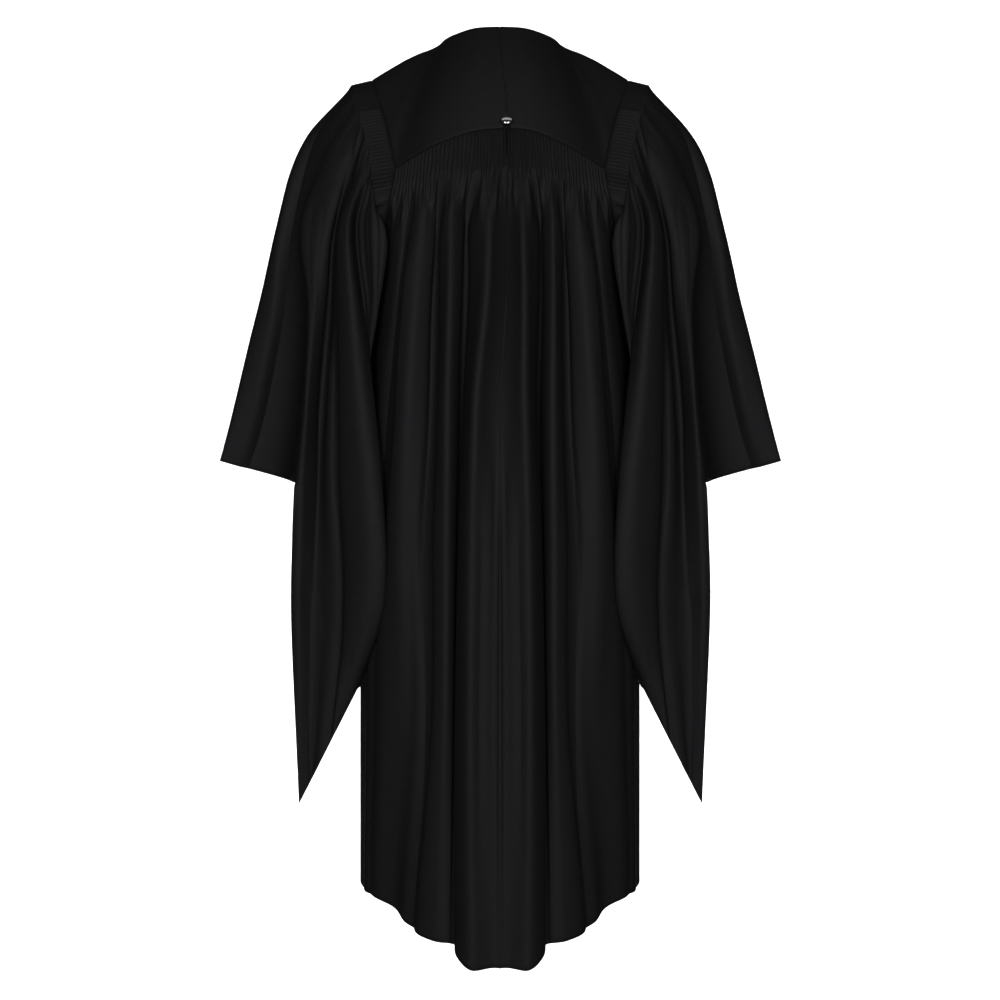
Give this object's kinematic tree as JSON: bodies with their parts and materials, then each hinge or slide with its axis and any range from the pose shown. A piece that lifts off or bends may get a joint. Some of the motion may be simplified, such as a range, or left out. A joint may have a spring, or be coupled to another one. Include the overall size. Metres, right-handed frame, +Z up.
{
  "type": "masters graduation gown",
  "caption": "Black masters graduation gown, hollow and open in front, with a gauged back below an arched yoke and long hanging sleeves with an arm slit",
  "frame": {"origin": "the middle of the line across the shoulders, where the wearer's shoulders hold the gown up", "axes": "+Z up, +Y the way the wearer faces, +X to the wearer's right"},
  "size_m": [0.7154, 0.372, 1.11],
  "materials": {
    "gown_cloth": "matt black woven cloth",
    "button_gloss": "polished black plastic",
    "loop_cord": "black braided cord"
  },
  "bodies": {
    "root": {"yoke_left": "gown_cloth", "yoke_right": "gown_cloth", "back_left": "gown_cloth", "back_right": "gown_cloth", "front_left": "gown_cloth", "front_right": "gown_cloth", "sleeve_left": "gown_cloth", "sleeve_right": "gown_cloth", "button": "button_gloss", "hood_loop": "loop_cord"}
  },
  "joints": []
}
